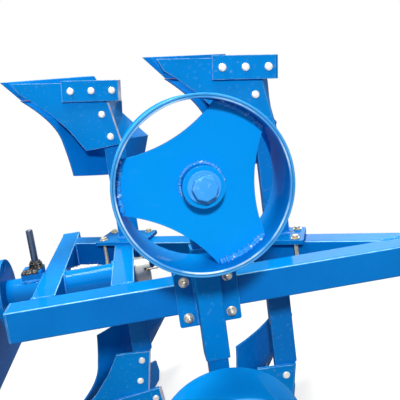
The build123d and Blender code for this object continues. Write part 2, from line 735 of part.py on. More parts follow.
with BuildPart() as leg_trim:
    with BuildSketch(side_plane(LAND_Y + 2 * LEG_THICK, LEG_X, SOLE)):
        with BuildLine():
            Polyline(
                (frog_edge(TUCK_LOW) - LEG_TUCK, TUCK_LOW),
                (frog_edge(TUCK_HIGH) - LEG_TUCK, TUCK_HIGH),
                TUCK_TOP,
                (TUCK_REAR, TUCK_TOP[1]),
                (TUCK_REAR, TUCK_LOW),
                close=True,
            )
        make_face()
    extrude(amount=3 * LEG_THICK)


def leg_with_foot(shift):
    # the leg stands off the middle of its foot plate by the given shift
    with BuildPart() as leg_bar:
        with BuildSketch(level_plane(LEG_END, LEG_X, BODY_Y)):
            Rectangle(LEG_WIDE, LEG_THICK)
        extrude(amount=-LEG_END - BEAM / 2 - FOOT_THICK)
        add(tilted(bolt_drill.part), mode=Mode.SUBTRACT)
        add(tilted(leg_trim.part), mode=Mode.SUBTRACT)
    with BuildPart() as leg:
        add(leg_bar.part.moved(shift))
        with BuildSketch(clamp_plane(CLAMP_X, -BEAM / 2 - FOOT_THICK)) as foot_shape:
            with BuildLine():
                Polyline(*foot_corners, close=True)
            make_face()
            fillet(foot_shape.vertices(), radius=FOOT_CORNER)
            with Locations(*clamp_spots):
                Circle(BOLT_HOLE_R, mode=Mode.SUBTRACT)
        extrude(amount=FOOT_THICK)
    return leg.part


# Each piece of the template goes to the front and rear, below and above
body_pieces = {
    "share": tilted(share_form.part),
    "mouldboard": tilted(board_form.part),
    "frog": tilted(frog_form.part),
    "landside": tilted(slade_form.part),
}


def four_places(lower, upper):
    return {
        "lower_front": lower,
        "lower_rear": lower.moved(REAR_STEP),
        "upper_front": upper.mirror(MIDDLE),
        "upper_rear": upper.moved(REAR_STEP).mirror(MIDDLE),
    }


body_pairs = {name: (piece, piece.moved(LEG_SHIFT)) for name, piece in body_pieces.items()}
body_pairs["leg"] = (leg_with_foot(Location()), leg_with_foot(LEG_SHIFT))
for piece_name, (lower, upper) in body_pairs.items():
    for place, placed in four_places(lower, upper).items():
        with BuildPart() as body_piece:
            add(placed)
        save(body_piece, f"{place}_{piece_name}")

one_set = tilted(bolts_form.part)
with BuildPart() as body_bolts:
    for placed in four_places(one_set, one_set.moved(LEG_SHIFT)).values():
        add(placed)
save(body_bolts, "body_bolts")

# Long bolts with washers that draw each pair of foot plates onto the main beam
CLAMP_HALF = BEAM / 2 + FOOT_THICK
CLAMP_HEAD = 8.0
WASHER_R = 13.0
WASHER = 2.5
with BuildPart() as clamp_bolts:
    for clamp_x in (CLAMP_X, CLAMP_X + BODY_PITCH):
        for end, thick in ((1, CLAMP_HEAD), (-1, NUT_THICK)):
            with BuildSketch(clamp_plane(clamp_x, end * CLAMP_HALF)):
                with Locations(*clamp_spots):
                    Circle(WASHER_R)
            extrude(amount=end * WASHER)
            with BuildSketch(clamp_plane(clamp_x, end * (CLAMP_HALF + WASHER))):
                with Locations(*clamp_spots):
                    RegularPolygon(NUT_CORNER, 6)
            extrude(amount=end * thick)
        bolt_low = CLAMP_HALF + WASHER + NUT_THICK + BOLT_TAIL
        with BuildSketch(clamp_plane(clamp_x, -bolt_low)):
            with Locations(*clamp_spots):
                Circle(BOLT_R)
        extrude(amount=bolt_low + CLAMP_HALF)
save(clamp_bolts, "clamp_bolts")

# Clamp plates that hold the wheel post on the near beam
CLAMP_BOLT_X = 108.0
CLAMP_BOLT_Z = 93.0
CLAMP_CORNER = 6.0
clamp_faces = {"wheel_clamp_front": NEAR_FACE, "wheel_clamp_back": NEAR_BACK + CLAMP_THICK}
for clamp_name, clamp_y in clamp_faces.items():
    with BuildPart() as wheel_clamp:
        with BuildSketch(side_plane(clamp_y)):
            RectangleRounded(CLAMP_WIDE, CLAMP_TALL, CLAMP_CORNER)
            with GridLocations(CLAMP_BOLT_X, CLAMP_BOLT_Z, 2, 2):
                Circle(BOLT_HOLE_R, mode=Mode.SUBTRACT)
        extrude(amount=CLAMP_THICK)
    save(wheel_clamp, clamp_name)

# Bolts with washers through both clamp plates, with their nuts and threaded ends in front
CLAMP_TAIL = 7.0
with BuildPart() as wheel_clamp_bolts:
    clamp_front = NEAR_FACE - CLAMP_THICK
    clamp_back = NEAR_BACK + CLAMP_THICK
    tail_end = clamp_front - WASHER - NUT_THICK - CLAMP_TAIL
    stack = (
        (clamp_back, clamp_back - tail_end, None),
        (clamp_front, WASHER, WASHER_R),
        (clamp_front - WASHER, NUT_THICK, 0),
        (clamp_back + CLAMP_HEAD, CLAMP_HEAD, 0),
    )
    for stack_y, stack_long, disc_r in stack:
        with BuildSketch(side_plane(stack_y)):
            with GridLocations(CLAMP_BOLT_X, CLAMP_BOLT_Z, 2, 2):
                if disc_r is None:
                    Circle(BOLT_R)
                elif disc_r:
                    Circle(disc_r)
                else:
                    RegularPolygon(NUT_CORNER, 6)
        extrude(amount=stack_long)
save(wheel_clamp_bolts, "wheel_clamp_bolts")

# Post tube, and the set screws that hold the two sliding stems
POST_Y = NEAR_FACE - CLAMP_THICK - POST / 2
SET_UP = 108.0
with BuildPart() as wheel_post:
    add(square_tube(level_plane(-POST_HALF, 0, POST_Y), POST, POST, POST_WALL, 2 * POST_HALF).part)
    for set_z in (-SET_UP, SET_UP):
        with BuildSketch(side_plane(POST_Y + POST, 0, set_z)):
            Circle(BOLT_R)
        extrude(amount=POST, mode=Mode.SUBTRACT)
save(wheel_post, "wheel_post")

STEM = POST - 2 * POST_WALL - 2 * STEM_GAP
SET_SHANK = 26.0
with BuildPart() as stem_screws:
    for set_z in (-SET_UP, SET_UP):
        with BuildSketch(side_plane(POST_Y + POST / 2 + NUT_THICK, 0, set_z)):
            RegularPolygon(NUT_CORNER, 6)
        extrude(amount=NUT_THICK)
        with BuildSketch(side_plane(POST_Y + POST / 2 + SET_SHANK, 0, set_z)):
            Circle(BOLT_R)
        extrude(amount=SET_SHANK + POST_WALL)
        with BuildSketch(side_plane(POST_Y + POST / 2 + SET_SHANK + CLAMP_HEAD, 0, set_z)):
            RegularPolygon(NUT_CORNER, 6)
        extrude(amount=CLAMP_HEAD)
save(stem_screws, "stem_screws")

# Sliding stem with its stub axle
STEM_FOOT = 65.0
STEM_TOP = WHEEL_UP + STEM / 2
STEM_FACE = POST_Y - STEM / 2
HUB_FRONT = WHEEL_FRONT + DISC_IN - HUB_PROUD
HUB_BACK = HUB_FRONT + HUB_LONG
STEM_WALL = 5.0
STEM_HOLLOW = STEM - 2 * STEM_WALL
AXLE_SHOULDER_R = 24.0
AXLE_WASHER = 5.0
AXLE_WASHER_R = 33.0
AXLE_FRONT = HUB_FRONT - AXLE_WASHER
with BuildPart() as stem_form:
    with BuildSketch(level_plane(STEM_FOOT, 0, POST_Y)):
        RectangleRounded(STEM, STEM, SLIDE_CORNER)
        RectangleRounded(STEM_HOLLOW, STEM_HOLLOW, SLIDE_CORNER / 2, mode=Mode.SUBTRACT)
    extrude(amount=STEM_TOP - STEM - STEM_FOOT)
    with BuildSketch(level_plane(STEM_TOP - STEM, 0, POST_Y)):
        RectangleRounded(STEM, STEM, SLIDE_CORNER)
    extrude(amount=STEM)
    with BuildSketch(side_plane(STEM_FACE, 0, WHEEL_UP)):
        Circle(AXLE_SHOULDER_R)
    extrude(amount=STEM_FACE - HUB_BACK - STEM_GAP)
    with BuildSketch(side_plane(STEM_FACE, 0, WHEEL_UP)):
        Circle(AXLE_R)
    extrude(amount=STEM_FACE - AXLE_FRONT)

# Washer and octagonal end piece that keep the wheel on its axle
KEEPER_R = 25.5
KEEPER_LONG = 21.5
with BuildPart() as keeper_form:
    with BuildSketch(side_plane(HUB_FRONT - STEM_GAP, 0, WHEEL_UP)):
        Circle(AXLE_WASHER_R)
        Circle(AXLE_R, mode=Mode.SUBTRACT)
    extrude(amount=AXLE_WASHER - STEM_GAP)
    with BuildSketch(side_plane(AXLE_FRONT, 0, WHEEL_UP)):
        RegularPolygon(KEEPER_R, 8)
    extrude(amount=KEEPER_LONG)
    chamfer(keeper_form.faces().sort_by(Axis.Y)[0].edges(), length=EDGE_BREAK)

# Wheel: a flat rim, a disc with three hollow flanks, and a hub
with BuildPart() as rim_form:
    with BuildSketch(side_plane(WHEEL_FRONT + RIM_WIDE, 0, WHEEL_UP)):
        Circle(WHEEL_R)
        Circle(WHEEL_R - RIM_THICK, mode=Mode.SUBTRACT)
    extrude(amount=RIM_WIDE)
with BuildPart() as disc_form:
    with BuildSketch(side_plane(WHEEL_FRONT + DISC_IN + DISC_THICK, 0, WHEEL_UP)):
        Circle(WHEEL_R - RIM_THICK)
        with PolarLocations(CUT_FROM_CENTRE, 3, start_angle=CUT_PHASE):
            Circle(CUT_R, mode=Mode.SUBTRACT)
    extrude(amount=DISC_THICK)
    with BuildSketch(side_plane(HUB_BACK, 0, WHEEL_UP)):
        Circle(HUB_R)
    extrude(amount=HUB_LONG)
    with BuildSketch(side_plane(HUB_BACK, 0, WHEEL_UP)):
        Circle(AXLE_R + RUNNING)
    extrude(amount=HUB_LONG, mode=Mode.SUBTRACT)

wheel_pieces = {
    "wheel_stem": stem_form.part,
    "axle_end": keeper_form.part,
    "wheel_rim": rim_form.part,
    "wheel_disc": disc_form.part,
}
for piece_name, piece in wheel_pieces.items():
    for place, placed in (("upper", piece), ("lower", piece.mirror(MIDDLE))):
        with BuildPart() as wheel_piece:
            add(placed)
        save(wheel_piece, f"{place}_{piece_name}")
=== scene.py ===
import math
import random

import bmesh
import bpy
from mathutils import Matrix, Vector


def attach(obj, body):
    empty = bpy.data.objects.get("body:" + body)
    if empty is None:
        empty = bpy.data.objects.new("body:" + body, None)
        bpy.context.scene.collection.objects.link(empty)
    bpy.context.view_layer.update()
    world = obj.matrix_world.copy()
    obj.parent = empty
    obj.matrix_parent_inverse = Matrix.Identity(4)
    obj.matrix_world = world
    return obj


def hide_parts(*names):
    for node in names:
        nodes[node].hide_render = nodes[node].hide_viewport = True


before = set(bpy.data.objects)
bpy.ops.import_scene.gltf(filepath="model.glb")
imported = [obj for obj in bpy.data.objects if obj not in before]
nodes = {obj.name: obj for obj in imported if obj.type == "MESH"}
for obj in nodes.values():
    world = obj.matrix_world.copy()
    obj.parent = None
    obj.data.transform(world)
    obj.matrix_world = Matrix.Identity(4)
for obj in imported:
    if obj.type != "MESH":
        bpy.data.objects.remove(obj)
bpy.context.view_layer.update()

# Headstock: a thick steel plate with two mast plates for the top link and a square
# cross bar for the lower links, all welded together and sprayed with blue enamel.
# The enamel is thick, a little uneven, and rubbed pale where edges have been knocked.


def add_node(tree, kind, **sockets):
    made = tree.nodes.new(kind)
    for socket, value in sockets.items():
        made.inputs[socket].default_value = value
    return made


def noise_at(tree, coords, scale, detail):
    made = add_node(tree, "ShaderNodeTexNoise", Scale=scale, Detail=detail)
    tree.links.new(coords, made.inputs["Vector"])
    return made.outputs["Fac"]


def spread(tree, source, low, high, to_low=0.0, to_high=1.0):
    made = tree.nodes.new("ShaderNodeMapRange")
    for place, value in zip((1, 2, 3, 4), (low, high, to_low, to_high)):
        made.inputs[place].default_value = value
    tree.links.new(source, made.inputs[0])
    return made.outputs[0]


def combine(tree, one, other, how="MULTIPLY"):
    made = tree.nodes.new("ShaderNodeMath")
    made.operation = how
    for place, source in enumerate((one, other)):
        if isinstance(source, float):
            made.inputs[place].default_value = source
        else:
            tree.links.new(source, made.inputs[place])
    return made.outputs[0]


def blend_colours(tree, share, one, other):
    made = tree.nodes.new("ShaderNodeMix")
    made.data_type = "RGBA"
    tree.links.new(share, made.inputs[0])
    for place, source in ((6, one), (7, other)):
        if isinstance(source, tuple):
            made.inputs[place].default_value = (*source, 1.0)
        else:
            tree.links.new(source, made.inputs[place])
    return made.outputs[2]


def split(tree, source):
    made = tree.nodes.new("ShaderNodeSeparateXYZ")
    tree.links.new(source, made.inputs[0])
    return list(made.outputs)


def facing_of(tree):
    # which way the surface looks, in the model's own directions
    return split(tree, tree.nodes.new("ShaderNodeTexCoord").outputs["Normal"])


def rounded_edges(tree, radius):
    # the normal softened at sharp edges, and how far the surface lies within such an edge
    soft = tree.nodes.new("ShaderNodeBevel")
    soft.samples = 6
    soft.inputs["Radius"].default_value = radius
    flat = tree.nodes.new("ShaderNodeNewGeometry")
    facing = tree.nodes.new("ShaderNodeVectorMath")
    facing.operation = "DOT_PRODUCT"
    tree.links.new(soft.outputs[0], facing.inputs[0])
    tree.links.new(flat.outputs["Normal"], facing.inputs[1])
    return soft.outputs[0], spread(tree, facing.outputs["Value"], 0.995, 0.90)


def ripple(tree, normal, heights):
    # stacks fine bumps, each a (height source, strength, depth) on the last normal
    for height, strength, depth in heights:
        made = add_node(tree, "ShaderNodeBump", Strength=strength, Distance=depth)
        tree.links.new(height, made.inputs["Height"])
        tree.links.new(normal, made.inputs["Normal"])
        normal = made.outputs[0]
    return normal


def new_skin(name):
    mat = bpy.data.materials.new(name)
    mat.use_nodes = True
    tree = mat.node_tree
    coords = tree.nodes.new("ShaderNodeTexCoord").outputs["Object"]
    return mat, tree, tree.nodes["Principled BSDF"], coords


STREAKS = {"scale": 38.0, "detail": 5.0}
EDGE_ROUND = 0.0030


def enamel(
    name, deep, lit, rubbed, edge_share=0.55, scuffs=0.15, gloss=0.30, lumps=0.0,
    corner_highlight=0.0, under=None, over=None, shine=0.10, haze=0.10,
):
    # clouded paint, specked with scuffs and rubbed paler at its edges; the corner option adds a painted
    # highlight in that pale colour along a square tube's up-facing corners; under and over lay more colour
    # below and above the wear
    mat, tree, skin, coords = new_skin(name)
    clouds = noise_at(tree, coords, 5.0, 4.0)
    streaks = noise_at(tree, coords, **STREAKS)
    specks = noise_at(tree, coords, 90.0, 5.0)
    colour = blend_colours(tree, spread(tree, clouds, 0.30, 0.70), deep, lit)
    colour = blend_colours(tree, combine(tree, spread(tree, specks, 0.60, 0.76), scuffs), colour, rubbed)
    normal, edge = rounded_edges(tree, EDGE_ROUND)
    worn = combine(tree, combine(tree, edge, spread(tree, streaks, 0.36, 0.60, 0.25, 1.0)), edge_share)
    # painted highlight: a pale line on the tube corners that face upward
    if corner_highlight:
        up = facing_of(tree)[2]
        upward = combine(tree, up, up)
        corner = combine(tree, upward, combine(tree, 1.0, upward, "SUBTRACT"))
        patchy = spread(tree, streaks, 0.35, 0.65, 0.5, 1.0)
        corner = combine(tree, spread(tree, corner, 0.17, 0.24), patchy)
        corner = combine(tree, corner, spread(tree, up, 0.0, 0.2))
        worn = combine(tree, worn, combine(tree, corner, corner_highlight), "MAXIMUM")
    if under:
        colour = under(tree, coords, colour)
    colour = blend_colours(tree, worn, colour, rubbed)
    if over:
        colour = over(tree, coords, colour)
    tree.links.new(colour, skin.inputs["Base Color"])
    tree.links.new(spread(tree, streaks, 0.3, 0.7, gloss - 0.05, gloss + 0.10), skin.inputs["Roughness"])
    heights = [(clouds, 0.08, 0.004), (noise_at(tree, coords, 420.0, 2.0), 0.03, 0.0005)]
    if lumps:
        heights.append((noise_at(tree, coords, 120.0, 3.0), lumps, 0.002))
    bumpy = ripple(tree, normal, heights)
    tree.links.new(bumpy, skin.inputs["Normal"])
    skin.inputs["Specular IOR Level"].default_value = 0.0
    skin.inputs["Coat Weight"].default_value = shine
    skin.inputs["Coat Roughness"].default_value = haze
    tree.links.new(bumpy, skin.inputs["Coat Normal"])
    return mat


def dress(names, mat):
    for name in names:
        slots = nodes[name].data.materials
        slots.clear()
        slots.append(mat)


FRAME_BLUE = (0.0006, 0.150, 0.500)
FRAME_BLUE_LIT = (0.0010, 0.185, 0.580)
RUBBED_BLUE = (0.22, 0.55, 0.86)
frame_enamel = enamel("frame_enamel", FRAME_BLUE, FRAME_BLUE_LIT, RUBBED_BLUE)
dress(["headstock_plate", "lower_link_bar", "mast_plates", "lock_guide", "lock_disc"], frame_enamel)

# Spindle, washers, slotted nut and hitch pins: turned bare steel with fine lathe lines,
# dulled a little by handling. The split pin is drawn wire.


def turned_steel(name, colour, along, rough=0.28, dull=(0.30, 0.27, 0.23)):
    mat, tree, skin, coords = new_skin(name)
    lines = add_node(tree, "ShaderNodeTexWave", Scale=260.0, Distortion=1.5)
    lines.bands_direction = along
    tree.links.new(coords, lines.inputs["Vector"])
    stains = noise_at(tree, coords, 45.0, 5.0)
    normal = rounded_edges(tree, 0.0015)[0]
    stained = blend_colours(tree, spread(tree, stains, 0.52, 0.78, 0.0, 0.7), colour, dull)
    tree.links.new(stained, skin.inputs["Base Color"])
    tree.links.new(spread(tree, stains, 0.3, 0.7, rough, rough + 0.18), skin.inputs["Roughness"])
    tree.links.new(ripple(tree, normal, [(lines.outputs["Fac"], 0.12, 0.0004)]), skin.inputs["Normal"])
    skin.inputs["Metallic"].default_value = 0.70
    return mat


nut_steel = turned_steel("nut_steel", (0.30, 0.32, 0.34), "X", 0.38)
pin_steel = turned_steel("pin_steel", (0.26, 0.24, 0.21), "Y")
dress(["castle_nut", "spindle", "thrust_washers", "lock_pin"], nut_steel)
dress(["lower_link_pins", "split_pin"], pin_steel)

# Parking stand: a square leg in a welded socket, with a plated hand screw.
# The plating is yellow zinc, cloudy and grainy.


def plated(name, colour, cloud):
    mat, tree, skin, coords = new_skin(name)
    clouds = noise_at(tree, coords, 85.0, 4.0)
    normal = rounded_edges(tree, 0.0010)[0]
    tree.links.new(
        blend_colours(tree, spread(tree, clouds, 0.42, 0.68), colour, cloud), skin.inputs["Base Color"]
    )
    tree.links.new(spread(tree, clouds, 0.3, 0.7, 0.26, 0.46), skin.inputs["Roughness"])
    grain = noise_at(tree, coords, 900.0, 2.0)
    tree.links.new(ripple(tree, normal, [(grain, 0.10, 0.0003)]), skin.inputs["Normal"])
    skin.inputs["Metallic"].default_value = 0.60
    return mat


yellow_zinc = plated("yellow_zinc", (0.74, 0.69, 0.52), (0.50, 0.40, 0.20))
dress(["stand_leg", "stand_socket"], frame_enamel)
dress(["stand_screw"], yellow_zinc)

# Turning frame: two square beams, two cross tubes and the bearing tube on the turnover
# axis, cut, fitted and welded by hand. The welds are lumpy and painted over.
WHEEL_X = 49.5
AXIS_Y = -13.82
AXIS_Z = 610.60
BEAM_HALF = 40.0
MAIN_X, MAIN_Y = 330.0, -65.5
MAIN_TURN = math.radians(32.4)
MAIN_SLOPE = -math.tan(MAIN_TURN)
MAIN_HALF = BEAM_HALF / math.cos(MAIN_TURN)


def spot(x, y, z):
    # millimetres from the wheel's centre line and the turnover axis, to the model's metres
    return Vector((WHEEL_X + x, AXIS_Y + y, AXIS_Z + z)) / 1000.0


def main_beam_y(x):
    # how far across the slanted beam's middle lies at x
    return MAIN_Y + (x - MAIN_X) * MAIN_SLOPE


def new_piece(name, bm, mat, body, sharp=38.0):
    mesh = bpy.data.meshes.new(name)
    bmesh.ops.recalc_face_normals(bm, faces=bm.faces)
    bm.to_mesh(mesh)
    bm.free()
    mesh.polygons.foreach_set("use_smooth", [True] * len(mesh.polygons))
    mesh.set_sharp_from_angle(angle=math.radians(sharp))
    mesh.materials.append(mat)
    made = bpy.data.objects.new(name, mesh)
    bpy.context.scene.collection.objects.link(made)
    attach(made, body)
    return made


def ring_between(bm, one, other):
    for i in range(len(one)):
        j = (i + 1) % len(one)
        bm.faces.new((one[i], one[j], other[j], other[i]))


def weld_bead(bm, path, bead, closed=False, seed=1):
    # a lumpy bead laid along a path of points, with the ripples of a hand weld
    rng = random.Random(seed)
    stops = path + [path[0]] if closed else path
    points = []
    for a, b in zip(stops, stops[1:]):
        count = max(1, round((b - a).length / (bead * 0.55)))
        points += [a.lerp(b, i / count) for i in range(count)]
    if not closed:
        points.append(stops[-1])
    rings = []
    last = len(points) - 1
    for i, point in enumerate(points):
        ahead = points[(i + 1) % len(points)] if closed or i < last else point
        behind = points[i - 1] if closed or i > 0 else point
        run = (ahead - behind).normalized()
        side = run.orthogonal() if abs(run.z) > 0.9 else run.cross(Vector((0, 0, 1)))
        side.normalize()
        lift = run.cross(side)
        size = bead * (0.88 + 0.16 * math.sin(i * 1.9) + rng.uniform(-0.16, 0.16))
        if not closed and i in (0, last):
            size *= 0.45
        centre = point + side * rng.uniform(-0.12, 0.12) * bead
        around = [step * math.tau / 8 for step in range(8)]
        rim = [centre + (side * math.cos(a) + lift * math.sin(a)) * size for a in around]
        rings.append([bm.verts.new(place) for place in rim])
    for one, other in zip(rings, rings[1:]):
        ring_between(bm, one, other)
    if closed:
        ring_between(bm, rings[-1], rings[0])
    else:
        bm.faces.new(rings[0])
        bm.faces.new(list(reversed(rings[-1])))


def circle_path(centre, radius, across, up, start=0.0, sweep=360.0, steps=48):
    turns = [math.radians(start + sweep * i / steps) for i in range(steps + (abs(sweep) < 360.0))]
    return [centre + (across * math.cos(a) + up * math.sin(a)) * radius for a in turns]


ALONG_X, ALONG_Y, ALONG_Z = Vector((1, 0, 0)), Vector((0, 1, 0)), Vector((0, 0, 1))
# pale blue of worn edges, also used for the painted highlight along the beams' upper corners
BEAM_WEAR_AND_HIGHLIGHT = (0.40, 0.72, 0.94)
beam_enamel = enamel("beam_enamel", FRAME_BLUE, FRAME_BLUE_LIT, BEAM_WEAR_AND_HIGHLIGHT, scuffs=0.03, corner_highlight=0.85)
# painted shade for the main beam's sides near its front end
MAIN_PAINTED_SHADE = (0.0004, 0.085, 0.360)
SHADE_FULL_X, SHADE_END_X = -0.15, 0.20


def painted_shade_front(tree, coords, colour):
    # painted shade: the main beam's sides are darkened towards its front end, where the wheel's shadow
    # falls
    forward = spread(tree, split(tree, coords)[0], SHADE_END_X, SHADE_FULL_X)
    upright = spread(tree, facing_of(tree)[2], 0.6, 0.2)
    return blend_colours(tree, combine(tree, forward, upright), colour, MAIN_PAINTED_SHADE)


main_enamel = enamel(
    "main_enamel", FRAME_BLUE, FRAME_BLUE_LIT, BEAM_WEAR_AND_HIGHLIGHT,
    scuffs=0.03, corner_highlight=0.85, under=painted_shade_front,
)
cross_enamel = enamel(
    "cross_enamel", FRAME_BLUE, FRAME_BLUE_LIT, BEAM_WEAR_AND_HIGHLIGHT,
    scuffs=0.03, corner_highlight=0.85, shine=0.24,
)
tube_enamel = enamel(
    "tube_enamel", FRAME_BLUE, FRAME_BLUE_LIT, RUBBED_BLUE, scuffs=0.03, shine=0.14, haze=0.06
)
dress(["near_beam", "beam_caps", "front_cross_tube"], beam_enamel)
dress(["main_beam"], main_enamel)
dress(["rear_cross_tube"], cross_enamel)
dress(["bearing_tube"], tube_enamel)
bronze = turned_steel("bearing_bronze", (0.50, 0.32, 0.12), "X")
dress(["bearing_bushes"], bronze)

WELD_BLUE = (0.004, 0.25, 0.78)
WELD_WORN = (0.60, 0.80, 0.97)
weld_enamel = enamel("weld_enamel", FRAME_BLUE_LIT, WELD_BLUE, WELD_WORN, 0.25, 0.45, 0.22, 0.45)
BEAD = 0.0050
SEAM_LEVEL, SEAM_END = 38.0, 36.0


def square_seams(one, other):
    # the four seams round a square tube's end, from the (x, y) of its two upright edges
    flat = [((*one, level), (*other, level)) for level in (SEAM_LEVEL, -SEAM_LEVEL)]
    return flat + [((*end, -SEAM_END), (*end, SEAM_END)) for end in (one, other)]


NEAR_SIDE = -216.0
FRONT_TUBE, REAR_TUBE, TAIL_JOINT = (-443.0, -381.0), (-238.5, -176.5), (494.0, 643.0)
weld_seams = []
for left, right in (FRONT_TUBE, REAR_TUBE):
    weld_seams += square_seams((left, NEAR_SIDE), (right, NEAR_SIDE))
weld_seams += square_seams(*[(x, main_beam_y(x) - MAIN_HALF - 0.5) for x in REAR_TUBE])
BUTT_Y = main_beam_y(FRONT_TUBE[1])
weld_seams += square_seams(*[(FRONT_TUBE[1] + 0.5, BUTT_Y + side * MAIN_HALF) for side in (-1, 1)])
weld_seams += square_seams(*[(x, NEAR_SIDE) for x in TAIL_JOINT])
LUG_SEAM = ((-500.0, -22.5, 31.0), (-446.0, -22.5, 31.0))
weld_seams += [LUG_SEAM]
BEARING_WELD_R = 0.0395
frame_welds = bmesh.new()
for order, (start, end) in enumerate(weld_seams):
    weld_bead(frame_welds, [spot(*start), spot(*end)], BEAD, seed=10 + order)
for order, x in enumerate((FRONT_TUBE[0], FRONT_TUBE[1], REAR_TUBE[0])):
    round_tube = circle_path(spot(x, 0, 0), BEARING_WELD_R, ALONG_Y, ALONG_Z)
    weld_bead(frame_welds, round_tube, BEAD, True, 60 + order)
CAP_Y, CAP_CORNERS = 515, ((-442, -39), (-382, -39), (-382, 39), (-442, 39))
cap_corners = [spot(x, CAP_Y, z) for x, z in CAP_CORNERS]
weld_bead(frame_welds, cap_corners, BEAD * 0.6, True, 64)
new_piece("frame_welds", frame_welds, weld_enamel, "frame")

# Headstock welds: beads where mast plates, link bar, spindle collar, lock guide and stand
# socket meet their neighbours, laid and painted like those of the turning frame.
PLATE_FACE, MAST_SIDE, MAST_WELD_LOW, MAST_WELD_HIGH = -611, 38.0, -150, 126
LINK_BAR_X, LINK_BAR_HALF, LINK_BAR_LEVELS = -610, 190, (-161.0, -229.0)
COLLAR_X, COLLAR_WELD_R, GUIDE_WELD_R, GUIDE_UP = -590, 0.0555, 0.0185, 80
SOCKET_X, SOCKET_SIDES, SOCKET_LOW, SOCKET_HIGH = -680, (-174.0, -126.0), -228, -162
headstock_welds = bmesh.new()
for side in (-MAST_SIDE, MAST_SIDE):
    mast_seam = [spot(PLATE_FACE, side, MAST_WELD_LOW), spot(PLATE_FACE, side, MAST_WELD_HIGH)]
    weld_bead(headstock_welds, mast_seam, BEAD, seed=int(41 + side))
for level in LINK_BAR_LEVELS:
    bar_seam = [spot(LINK_BAR_X, -LINK_BAR_HALF, level), spot(LINK_BAR_X, LINK_BAR_HALF, level)]
    weld_bead(headstock_welds, bar_seam, BEAD, seed=51)
collar_seam = circle_path(spot(COLLAR_X, 0, 0), COLLAR_WELD_R, ALONG_Y, ALONG_Z)
weld_bead(headstock_welds, collar_seam, BEAD, True, 52)
guide_seam = circle_path(spot(PLATE_FACE, 0, GUIDE_UP), GUIDE_WELD_R, ALONG_Y, ALONG_Z)
weld_bead(headstock_welds, guide_seam, BEAD * 0.7, True, 53)
for side in SOCKET_SIDES:
    socket_seam = [spot(SOCKET_X, side, SOCKET_LOW), spot(SOCKET_X, side, SOCKET_HIGH)]
    weld_bead(headstock_welds, socket_seam, BEAD, seed=54)
new_piece("headstock_welds", headstock_welds, weld_enamel, "headstock")

# Stop screw: a dark stud in a tall nut, packed round with black grease on its lug. Old
# pale grease has dried where it was squeezed out along the top of the bearing tube.


def grease_skin(name, dark, pale, low, high):
    mat, tree, skin, coords = new_skin(name)
    clouds = noise_at(tree, coords, 130.0, 5.0)
    colour = blend_colours(tree, spread(tree, clouds, low, high), dark, pale)
    tree.links.new(colour, skin.inputs["Base Color"])
    tree.links.new(spread(tree, clouds, 0.3, 0.7, 0.20, 0.55), skin.inputs["Roughness"])
    return mat


stud_steel = turned_steel("stud_steel", (0.09, 0.12, 0.18), "Z", 0.20, (0.01, 0.02, 0.04))
dress(["stop_screw"], stud_steel)
black_grease = grease_skin("black_grease", (0.006, 0.006, 0.006), (0.07, 0.05, 0.035), 0.48, 0.76)
dry_grease = grease_skin("dry_grease", (0.24, 0.17, 0.11), (0.80, 0.77, 0.72), 0.36, 0.52)
STUD = (-461.0, 15.0)
GREASE_RINGS = (
    (60.0, 0.0185, 0.0050), (66.0, 0.0165, 0.0042), (72.0, 0.0150, 0.0044), (78.0, 0.0120, 0.0040)
)
GREASE_SMEARS = ((-21.0, 55.0), (-14.0, 57.0), (-4.0, 57.5))
SMEAR_FRONT, SMEAR_BACK, SMEAR = -497, -450, 0.0056
grease_ring = bmesh.new()
for level, radius, bead in GREASE_RINGS:
    round_stud = circle_path(spot(*STUD, level), radius, ALONG_X, ALONG_Y, steps=20)
    weld_bead(grease_ring, round_stud, bead, True, 61)
for y, z in GREASE_SMEARS:
    weld_bead(grease_ring, [spot(SMEAR_FRONT, y, z), spot(SMEAR_BACK, y, z)], SMEAR, seed=int(70 + y))
new_piece("stop_screw_grease", grease_ring, black_grease, "frame")
DRY_LINE, DRY_THICK = ((-363, 12, 37), (-340, 8, 38.5), (-310, 10, 38), (-282, 13, 36)), 0.0058
dry_bead = bmesh.new()
weld_bead(dry_bead, [spot(*place) for place in DRY_LINE], DRY_THICK, seed=66)
new_piece("bearing_tube_grease", dry_bead, dry_grease, "frame")

# Legs: flat bars welded to skewed foot plates, clamped in pairs over the main beam by
# long plated bolts that run down past its sides.
CLAMP_MIDDLES, LEG_SET, FOOT_FACE = (-197.0, 249.0), 9.3, 53.0
LEG_CORNERS = ((-34, -15), (34, -15), (34, 15), (-34, 15))
PLACES = ("lower_front", "lower_rear", "upper_front", "upper_rear")
dress([f"{place}_leg" for place in PLACES], frame_enamel)
leg_welds = bmesh.new()
for clamp_x in CLAMP_MIDDLES:
    for side in (-1, 1):
        x = clamp_x + side * LEG_SET
        y = main_beam_y(x)
        corners = [spot(x + dx, y + dy, side * FOOT_FACE) for dx, dy in LEG_CORNERS]
        weld_bead(leg_welds, corners, BEAD, True, int(700 + side + x))
new_piece("leg_welds", leg_welds, weld_enamel, "frame")


def turned(bm, foot, run, profile, count=32, corner=None):
    # spins a profile of (distance along, radius) round run; corner makes it a hexagon
    run = run.normalized()
    side = run.orthogonal().normalized()
    other = run.cross(side)
    rings = []
    for along, radius in profile:
        ring = []
        for i in range(count):
            angle = i * math.tau / count
            reach = radius
            if corner:
                flat = corner * math.cos(math.pi / 6)
                hexed = flat / math.cos((angle + math.pi / 6) % (math.pi / 3) - math.pi / 6)
                reach = min(radius, hexed) if radius < corner * 0.999 else hexed
            out = side * math.cos(angle) + other * math.sin(angle)
            ring.append(bm.verts.new(foot + run * along + out * reach))
        rings.append(ring)
    for one, following in zip(rings, rings[1:]):
        ring_between(bm, one, following)
    bm.faces.new(list(reversed(rings[0])))
    bm.faces.new(rings[-1])


WASHER_THICK, WASHER_BREAK = 0.0025, 0.0004


